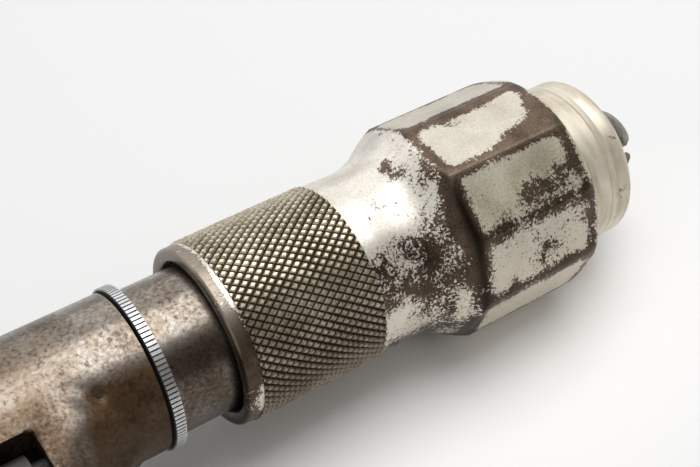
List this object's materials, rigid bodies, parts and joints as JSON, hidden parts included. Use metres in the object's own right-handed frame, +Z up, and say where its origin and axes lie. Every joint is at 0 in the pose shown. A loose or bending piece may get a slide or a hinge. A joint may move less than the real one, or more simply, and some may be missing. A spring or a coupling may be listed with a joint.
{
  "type": "hand brace",
  "caption": "Cranked hand brace with a turning head and sweep grip, a ratchet with a selector ring, and a knurled ten-sided screw chuck with two jaws.",
  "frame": {"origin": "centre of the bottom of the box round the whole tool", "axes": "+X along the main axis towards the nose, -Y towards the crank's bow, +Z up, across the crank's plane"},
  "size_m": [0.3622, 0.1812, 0.075],
  "materials": {
    "forged_steel": "aged, mottled",
    "bright_ring_steel": "bright worn",
    "worn_nickel": "nickel plating flaked to brown steel",
    "collar_plating": "nickel plated, dulled",
    "tool_steel": "satin",
    "spring_steel": "blued",
    "bearing_steel": "polished",
    "stained_beech": "stained and oiled",
    "stained_grip": "stained and oiled"
  },
  "bodies": {
    "crank": {"crank_frame": "forged_steel", "rear_bush": "bearing_steel", "pawl_pin_upper": "tool_steel", "pawl_pin_lower": "tool_steel", "pawl_spring": "spring_steel", "head_race": "bearing_steel", "head_washer": "tool_steel", "head_nut": "tool_steel"},
    "head": {"head_knob": "stained_beech", "head_plate": "collar_plating", "head_screw_1": "tool_steel", "head_screw_2": "tool_steel", "head_screw_3": "tool_steel", "head_ball_1": "bearing_steel", "head_ball_2": "bearing_steel", "head_ball_3": "bearing_steel", "head_ball_4": "bearing_steel", "head_ball_5": "bearing_steel", "head_ball_6": "bearing_steel", "head_ball_7": "bearing_steel", "head_ball_8": "bearing_steel"},
    "grip": {"grip_handle": "stained_grip", "grip_ferrule_front": "collar_plating", "grip_ferrule_rear": "collar_plating"},
    "selector": {"selector_ring": "bright_ring_steel"},
    "front_pawl": {"pawl_front": "tool_steel"},
    "rear_pawl": {"pawl_rear": "tool_steel"},
    "spindle": {"chuck_spindle": "forged_steel", "ratchet_wheel": "tool_steel", "wheel_pin": "tool_steel", "spindle_washer": "tool_steel", "spindle_screw": "tool_steel", "jaw_spring": "spring_steel"},
    "upper_jaw": {"jaw_upper": "tool_steel"},
    "lower_jaw": {"jaw_lower": "tool_steel"},
    "nose": {"nose_collar": "collar_plating", "thrust_race": "bearing_steel", "snap_ring": "spring_steel", "thrust_ball_1": "bearing_steel", "thrust_ball_2": "bearing_steel", "thrust_ball_3": "bearing_steel", "thrust_ball_4": "bearing_steel", "thrust_ball_5": "bearing_steel", "thrust_ball_6": "bearing_steel", "thrust_ball_7": "bearing_steel", "thrust_ball_8": "bearing_steel"},
    "shell": {"chuck_shell": "worn_nickel"}
  },
  "joints": [
    {"name": "head_spin", "type": "hinge", "parent": "crank", "child": "head", "pos_m": [-0.14414, 0.05315, 0.0375], "axis": [1, 0, 0], "continuous": true},
    {"name": "grip_spin", "type": "hinge", "parent": "crank", "child": "grip", "pos_m": [-0.03284, -0.07385, 0.0375], "axis": [1, 0, 0], "continuous": true},
    {"name": "chuck_turn", "type": "hinge", "parent": "crank", "child": "spindle", "pos_m": [0.083, 0.05315, 0.0375], "axis": [1, 0, 0], "continuous": true},
    {"name": "selector_turn", "type": "hinge", "parent": "crank", "child": "selector", "pos_m": [0.08525, 0.05315, 0.0375], "axis": [1, 0, 0], "range_deg": [-25, 25]},
    {"name": "front_pawl_swing", "type": "hinge", "parent": "crank", "child": "front_pawl", "pos_m": [0.05831, 0.03915, 0.0447], "axis": [1, 0, 0], "range_deg": [-8.8, 8.8]},
    {"name": "rear_pawl_swing", "type": "hinge", "parent": "crank", "child": "rear_pawl", "pos_m": [0.05171, 0.03915, 0.0303], "axis": [1, 0, 0], "range_deg": [-8.8, 8.8]},
    {"name": "nose_travel", "type": "slide", "parent": "spindle", "child": "nose", "axis": [1, 0, 0], "range_m": [-0.00402, 0.00602]},
    {"name": "shell_turn", "type": "hinge", "parent": "nose", "child": "shell", "pos_m": [0.12674, 0.05315, 0.0375], "axis": [1, 0, 0], "range_deg": [-720, 1080]},
    {"name": "upper_jaw_swing", "type": "hinge", "parent": "spindle", "child": "upper_jaw", "pos_m": [0.13175, 0.05507, 0.04276], "axis": [0, -0.9397, 0.342], "range_deg": [-1.86, 2.77]},
    {"name": "lower_jaw_swing", "type": "hinge", "parent": "spindle", "child": "lower_jaw", "pos_m": [0.13175, 0.05124, 0.03224], "axis": [0, 0.9397, -0.342], "range_deg": [-1.86, 2.77]}
  ],
  "couplings": [
    {"joint": "front_pawl_swing", "follows": "selector_turn", "ratio": 0.35},
    {"joint": "rear_pawl_swing", "follows": "selector_turn", "ratio": 0.35},
    {"joint": "nose_travel", "follows": "shell_turn", "m_per_rad": 0.00031831},
    {"joint": "upper_jaw_swing", "follows": "shell_turn", "ratio": 0.002535},
    {"joint": "lower_jaw_swing", "follows": "shell_turn", "ratio": 0.002535}
  ]
}
